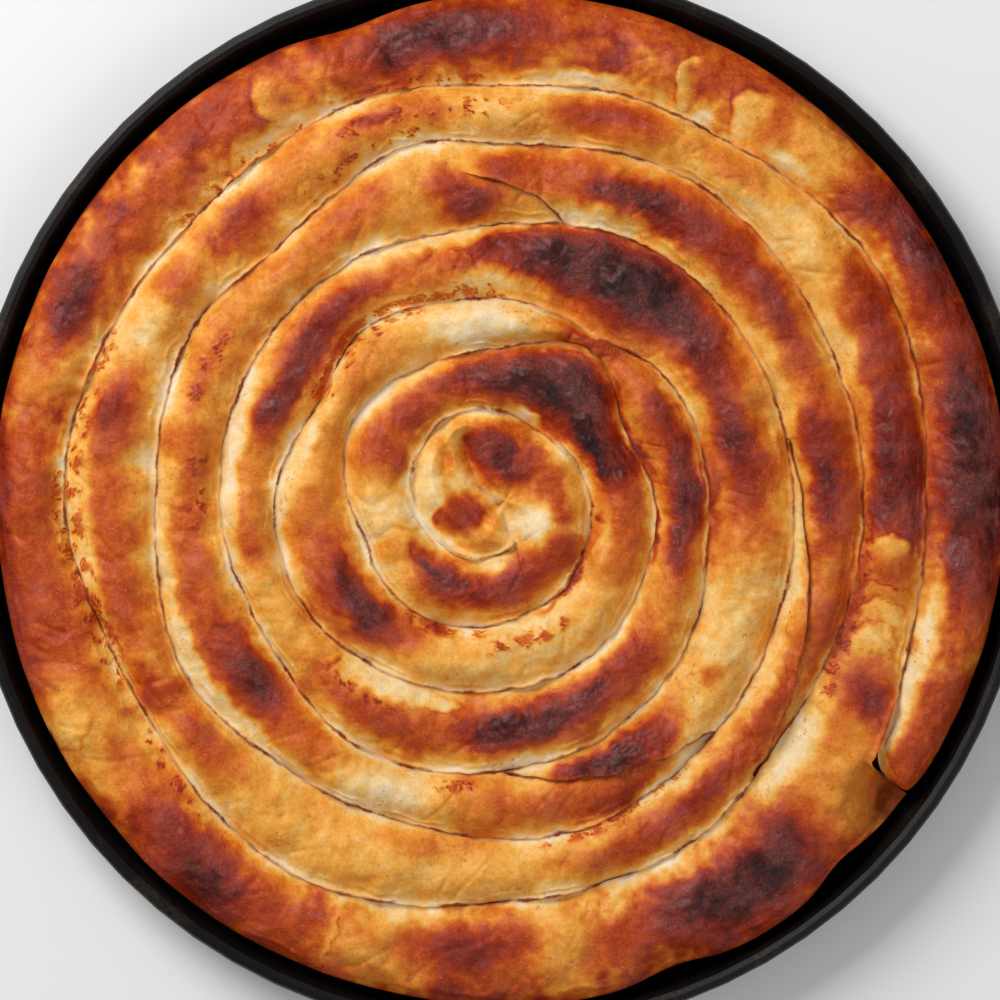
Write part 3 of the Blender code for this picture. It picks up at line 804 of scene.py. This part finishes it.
# The fifth rope is the longest, once and a half round, to a narrow neck.
FIFTH_PATCHES = (
    (1372, 0.28, 14, 0.16, 0.66), (1378, 0.42, 12, 0.26, 0.66), (1370, 0.26, 9, 0.1, 0.88),
    (1376, 0.4, 8, 0.16, 0.96), (1383, 0.5, 6, 0.2, 0.93), (1406, 0.5, 20, 0.42, 0.16),
    (1399.5, 0.5, 2.5, 0.15, 0.48), (1440, 0.05, 18, 0.08, 0.62), (1440, 0.5, 6, 0.22, 0.62),
    (1455, 0.42, 13, 0.24, 0.7), (1457, 0.4, 10, 0.16, 0.86), (1470, 0.5, 5, 0.3, 0.62),
    (1503, 0.6, 30, 0.42, 0.7), (1476, 0.45, 8, 0.2, 0.8), (1490, 0.6, 13, 0.3, 0.97),
    (1505, 0.6, 14, 0.32, 1.0), (1520, 0.65, 12, 0.26, 0.96), (1532, 0.68, 5, 0.14, 0.78),
    (1535, 0.2, 12, 0.18, 0.14), (1545, 0.88, 12, 0.1, 0.14), (1550, 0.5, 6, 0.25, 0.46),
    (1580, 0.46, 22, 0.26, 0.66), (1570, 0.5, 8, 0.18, 0.76), (1583, 0.45, 11, 0.18, 0.83),
    (1597, 0.45, 7, 0.2, 0.88), (1612, 0.85, 15, 0.16, 0.04), (1617, 0.35, 12, 0.25, 0.42),
    (1631, 0.45, 5, 0.16, 0.6), (1648, 0.5, 12, 0.4, 0.26), (1665, 0.55, 8, 0.18, 0.48),
    (1680, 0.58, 14, 0.18, 0.62), (1682, 0.15, 16, 0.14, 0.08), (1722, 0.47, 30, 0.3, 0.66),
    (1708, 0.5, 8, 0.18, 0.88), (1720, 0.48, 11, 0.2, 0.94), (1735, 0.4, 8, 0.18, 0.88),
    (1750, 0.45, 10, 0.28, 0.7), (1766, 0.4, 8, 0.3, 0.36), (1803, 0.56, 26, 0.34, 0.68),
    (1790, 0.48, 10, 0.2, 0.86), (1803, 0.6, 11, 0.24, 0.88), (1815, 0.6, 9, 0.24, 0.84),
    (1830, 0.62, 10, 0.2, 0.74), (1790, 0.03, 10, 0.06, 0.7), (1826, 0.05, 18, 0.08, 0.8),
    (1846, 0.5, 7, 0.4, 0.5), (1857, 0.5, 5, 0.5, 0.64),
)
FIFTH_FLAKES = (
    (1663, 0.28, 1.2, 0.2, 0.6), (1683, 0.16, 14.0, 0.14, 0.1),
)
FIFTH_CRUMBS = (
    (1537, 1548, 0.6, 0.14, 0.2), (1544, 1592, 0.09, 0.08, 0.75), (1662, 1680, 0.4, 0.07, 0.25),
    (1530, 1545, 0.1, 0.15, 0.1),
)
lay_rope("rope_fifth", 1350, LAST_JOIN, FIFTH_PATCHES, FIFTH_FLAKES, FIFTH_CRUMBS)

# The last rope widens from the neck and coils to the eye.
CENTRE_PATCHES = (
    (1866, 0.35, 7, 0.4, 0.7), (1875, 0.5, 4, 0.3, 0.4), (1898, 0.5, 20, 0.46, 0.03),
    (1930, 0.45, 12, 0.3, 0.36), (1943, 0.35, 7, 0.3, 0.46), (1965, 0.77, 14, 0.2, 0.1),
    (1963, 0.3, 14, 0.25, 0.36), (1985, 0.5, 6, 0.3, 0.42), (1995, 0.75, 6, 0.12, 0.46),
    (2016, 0.45, 20, 0.34, 0.6), (2007, 0.6, 8, 0.14, 0.68), (2007, 0.35, 9, 0.12, 0.86),
    (2017, 0.42, 8, 0.18, 0.96), (2024, 0.46, 7, 0.22, 0.96), (2031, 0.45, 6, 0.18, 0.76),
    (2080, 0.55, 40, 0.38, 0.2), (2085, 0.15, 20, 0.14, 0.12), (2041, 0.05, 5, 0.1, 0.66),
    (2108, 0.06, 24, 0.06, 0.62), (2126, 0.55, 6, 0.3, 0.46), (2145, 0.6, 18, 0.3, 0.5),
    (2141, 0.27, 14, 0.07, 0.26), (2147, 0.2, 3, 0.06, 0.68), (2180, 0.6, 14, 0.4, 0.74),
    (2222, 0.5, 56, 0.42, 0.7), (2178, 0.62, 12, 0.34, 0.88), (2192, 0.36, 13, 0.16, 0.98),
    (2205, 0.62, 16, 0.32, 0.92), (2225, 0.5, 16, 0.38, 0.98), (2245, 0.56, 13, 0.3, 0.93),
    (2262, 0.56, 12, 0.22, 0.86), (2278, 0.5, 9, 0.14, 0.72), (2287, 0.88, 12, 0.12, 0.14),
    (2296, 0.4, 12, 0.32, 0.58), (2297, 0.45, 6, 0.2, 0.66), (2315, 0.56, 10, 0.25, 0.6),
    (2320, 0.22, 10, 0.14, 0.64), (2347, 0.6, 12, 0.36, 0.12), (2364, 0.6, 6, 0.3, 0.36),
    (2372, 0.35, 8, 0.14, 0.66), (2392, 0.45, 14, 0.26, 0.76), (2398, 0.4, 9, 0.16, 0.86),
    (2415, 0.52, 14, 0.22, 0.76), (2434, 0.52, 14, 0.26, 0.74), (2450, 0.55, 12, 0.26, 0.72),
    (2384, 0.4, 14, 0.03, 0.95), (2422, 0.1, 18, 0.14, 0.12), (2240, 0.05, 10, 0.06, 0.05),
)
CENTRE_FLAKES = (
    (1866, 0.5, 2.0, 0.2, 0.4), (1874, 0.4, 3.5, 0.2, 0.3), (1878, 0.85, 4.0, 0.14, 0.12),
    (2214, 0.52, 7.0, 0.1, 1.0), (2200, 0.43, 8.0, 0.11, 1.0), (2186, 0.34, 8.0, 0.1, 1.0),
    (2173, 0.26, 7.0, 0.08, 1.0),
)
CENTRE_CRUMBS = (
    (1913, 1950, 0.95, 0.1, 0.45), (1925, 1950, 0.78, 0.05, 0.2), (2064, 2098, 0.36, 0.12, 0.38),
    (2028, 2050, 0.06, 0.14, 0.45), (2052, 2062, 0.1, 0.08, 0.35), (2100, 2160, 0.05, 0.08, 0.3),
)
lay_rope("rope_centre", LAST_JOIN, KNOT + KNOT_OVERLAP, CENTRE_PATCHES, CENTRE_FLAKES,
         CENTRE_CRUMBS)

# The knot: the last rope's end, pressed into a curled lump and a tucked one round a crease at
# the eye. The points of its creases are offsets from the eye. A patch has its middle there, its
# half sizes and how deep it is browned.
KNOT_CREASE = (
    (3.0, -14.0), (0.6, -9.6), (-0.2, -5.5), (-1.6, -2.0), (-8.6, 4.5), (-11.6, 13.0),
    (-13.0, 19.0),
)
KNOT_FOLD = ((-19.2, 14.0), (-19.0, 8.5), (-14.9, 2.3), (-9.4, -2.3), (-5.0, -6.5))
FOLD_SHALLOWER = 1.4
KNOT_LINE_THINNER = 0.2
KNOT_LIP = 1.5
KNOT_LIP_REACH = 10.0
KNOT_PATCH_FADE = (1.45, 0.5)
KNOT_PLATE = 39.0
KNOT_CELLS = 150
KNOT_HIDDEN = 8.0
KNOT_UNDER = 1.2
KNOT_RUN_ON = 36.0
KNOT_PATCHES = (
    (-24.0, 5.0, 4.5, 12.0, 0.12), (-14.0, 7.0, 4.0, 6.5, 0.16), (3.0, 22.0, 7.0, 3.5, 0.5),
    (8.5, 13.5, 5.5, 6.0, 0.6), (15.0, 5.0, 5.0, 6.0, 0.58), (18.0, -2.5, 5.0, 4.5, 0.6),
    (-5.0, 14.5, 7.5, 10.0, 0.68), (3.5, 10.5, 6.0, 5.0, 0.72), (-4.5, 16.5, 5.5, 6.0, 0.82),
    (-0.5, 12.5, 3.5, 5.0, 0.88), (-13.3, -4.0, 7.5, 5.5, 0.6), (-12.0, -4.5, 4.5, 4.0, 0.7),
    (-21.0, -5.5, 1.8, 2.5, 0.68), (8.5, -7.0, 7.0, 6.0, 0.05), (-7.0, -13.5, 6.0, 3.0, 0.36),
    (10.0, -22.0, 8.0, 5.0, 0.72), (19.0, -16.4, 6.0, 6.0, 0.64), (22.5, 6.0, 3.0, 10.0, 0.3),
)


def crease_distance(x, y, points):
    """Distance from each place to a crease given by its points."""
    nearest = np.full(x.shape, np.inf)
    for (x0, y0), (x1, y1) in zip(points, points[1:]):
        dx, dy = x1 - x0, y1 - y0
        part = np.clip(((x - x0) * dx + (y - y0) * dy) / (dx * dx + dy * dy), 0.0, 1.0)
        nearest = np.minimum(nearest, np.hypot(x - x0 - part * dx, y - y0 - part * dy))
    return nearest


mesh, column, row = grid_mesh("knot_crust", KNOT_CELLS, KNOT_CELLS)
x = (column / KNOT_CELLS * 2 - 1) * KNOT_PLATE
y = (row / KNOT_CELLS * 2 - 1) * KNOT_PLATE
radius = np.maximum(np.hypot(x, y), 0.01)
turn_begins = KNOT - 360
heading = np.degrees(np.arctan2(y, x)) % 360.0
last_turn = turn_begins + (heading - turn_begins) % 360.0
edge_gap = crease_line(last_turn) - radius
from_edge = np.maximum(edge_gap, 0.0)
fold_gap = crease_distance(x, y, KNOT_FOLD) + FOLD_SHALLOWER
crease_gap = np.minimum(crease_distance(x, y, KNOT_CREASE), fold_gap)
distance = np.minimum(from_edge, crease_gap)
shoulder = 1 - np.clip(distance / HALF_ROPE, 0.0, 1.0)
rim = crease_height(last_turn) - crease_step(last_turn)
rim = rim + smooth(KNOT_LIP_REACH, 0.0, crease_gap) * KNOT_LIP
height = crown_height(last_turn + 360)
height = height - (height - rim) * shoulder ** DOME_POWER
height = height + crease_fill(last_turn, from_edge)
field = toasted(x, y, shoulder)
drift, sway, ragged = wander(x, y)
for middle_x, middle_y, half_x, half_y, depth in KNOT_PATCHES:
    away = np.hypot((x + drift - middle_x) / half_x, (y + sway - middle_y) / half_y) + ragged
    field = field + (depth - field) * smooth(*KNOT_PATCH_FADE, away)
knot_rope = last_turn + 360
crease = crease_line(knot_rope)
full = crease_line(last_turn) - crease
t = (radius - crease) / full
rope_field, _ = browning(x, y, knot_rope, t, full, CENTRE_PATCHES, ())
run_on = smooth(0.0, KNOT_RUN_ON, last_turn - turn_begins)
run_on = np.maximum(run_on, smooth(1.0, -1.0, radius - seam(KNOT)))
field = rope_field + (np.clip(field, 0.0, 1.0) - rope_field) * run_on
rope_height = rope_top(knot_rope, t) + crease_fill(knot_rope, np.maximum(radius - crease, 0.0))
rope_height = rope_height + crease_fill(last_turn, from_edge)
height = rope_height + (height - rope_height) * run_on
side = 2 * t - 1 + (shoulder - 2 * t + 1) * run_on
height = height + cover_height(x, y, run_length(knot_rope), full * t, side, field)
height = height + np.minimum(edge_gap, 0.0)
height = np.where(edge_gap < -KNOT_UNDER, KNOT_HIDDEN, height)
at_rim = np.maximum(np.abs(x), np.abs(y)) > KNOT_PLATE * 0.999
height = np.where(at_rim, FLOOR + GAP, height)
places = np.stack([EYE_X + x, y, height], axis=-1)
line_gap = np.minimum(from_edge + SHUT_FADE * baked_shut(last_turn), crease_gap)
knot = finish_skin(mesh, places,
                   {"bake": field, "seam_distance": line_gap + KNOT_LINE_THINNER}, filo)
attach(knot, "root")
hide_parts("rope_centre")


# The floor, and soft studio light from the upper left of the photograph.
FLOOR_SIZE = 4.0
bm = bmesh.new()
bmesh.ops.create_grid(bm, x_segments=1, y_segments=1, size=FLOOR_SIZE)
mesh = bpy.data.meshes.new("floor")
bm.to_mesh(mesh)
bm.free()
ground = bpy.data.objects.new("floor", mesh)
bpy.context.scene.collection.objects.link(ground)
paper, paper_shader, _ = new_finish("floor_paper")
paper_shader.inputs["Base Color"].default_value = (0.86, 0.86, 0.85, 1.0)
paper_shader.inputs["Roughness"].default_value = 0.8
mesh.materials.append(paper)


def add_light(name, spot, size, power):
    """A square soft light aimed at the middle of the pie."""
    lamp = bpy.data.lights.new(name, "AREA")
    lamp.size = size
    lamp.energy = power
    holder = bpy.data.objects.new(name, lamp)
    holder.location = spot
    aim = -holder.location.normalized()
    holder.rotation_euler = aim.to_track_quat("-Z", "Y").to_euler()
    bpy.context.scene.collection.objects.link(holder)


add_light("key", (-0.75, 0.85, 1.0), 0.8, 19.5)
add_light("fill", (0.9, -0.7, 1.2), 1.2, 5.0)
world = bpy.data.worlds.new("studio")
world.use_nodes = True
world.node_tree.nodes["Background"].inputs["Color"].default_value = (1.0, 1.0, 1.0, 1.0)
world.node_tree.nodes["Background"].inputs["Strength"].default_value = 0.32
bpy.context.scene.world = world
bpy.context.scene.view_settings.view_transform = "Standard"

# The camera looks straight down, and its frame is as wide as the circle that the photograph
# shows of the pie.
CAMERA_HEIGHT = 1.4
PHOTO_WIDTH = 0.320
lens = bpy.data.cameras.new("camera")
lens.sensor_width = 36.0
lens.lens = lens.sensor_width * (CAMERA_HEIGHT - CREASE * MM) / PHOTO_WIDTH
camera = bpy.data.objects.new("camera", lens)
camera.location = (0.0, 0.0, CAMERA_HEIGHT)
bpy.context.scene.collection.objects.link(camera)
bpy.context.scene.camera = camera
